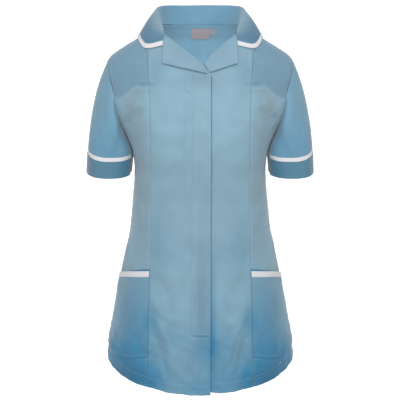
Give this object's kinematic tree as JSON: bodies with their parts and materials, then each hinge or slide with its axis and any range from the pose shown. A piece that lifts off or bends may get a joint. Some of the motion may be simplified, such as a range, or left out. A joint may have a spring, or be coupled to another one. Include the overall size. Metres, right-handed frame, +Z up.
{
  "type": "medical tunic",
  "caption": "Short-sleeved medical tunic, filled out as if worn, with an open collar and revers, a covered front fastening, shaped front panels, slanting pockets and white edging. No wearer.",
  "frame": {"origin": "midway between the two points where the shoulder seams meet the neck, where a hanger or a pair of shoulders carries the garment", "axes": "+Z up along the body, +Y towards the wearer's back and +X towards the wearer's left; the front faces -Y"},
  "size_m": [0.459, 0.2711, 0.7589],
  "materials": {
    "cloth": "matt polyester and cotton twill, light blue",
    "braid": "matt white woven edging",
    "label": "bare satin ribbon, warm grey"
  },
  "bodies": {
    "root": {"back": "cloth", "front_center_right": "cloth", "front_center_left": "cloth", "front_side_right": "cloth", "front_side_left": "cloth", "placket": "cloth", "lapel_right": "cloth", "lapel_left": "cloth", "collar": "cloth", "collar_trim": "braid", "pocket_right": "cloth", "pocket_left": "cloth", "pocket_trim_right": "braid", "pocket_trim_left": "braid", "sleeve_right": "cloth", "sleeve_left": "cloth", "sleeve_trim_right": "braid", "sleeve_trim_left": "braid", "cuff_right": "cloth", "cuff_left": "cloth", "neck_tape": "cloth", "neck_label": "label", "size_tab": "label"}
  },
  "joints": []
}
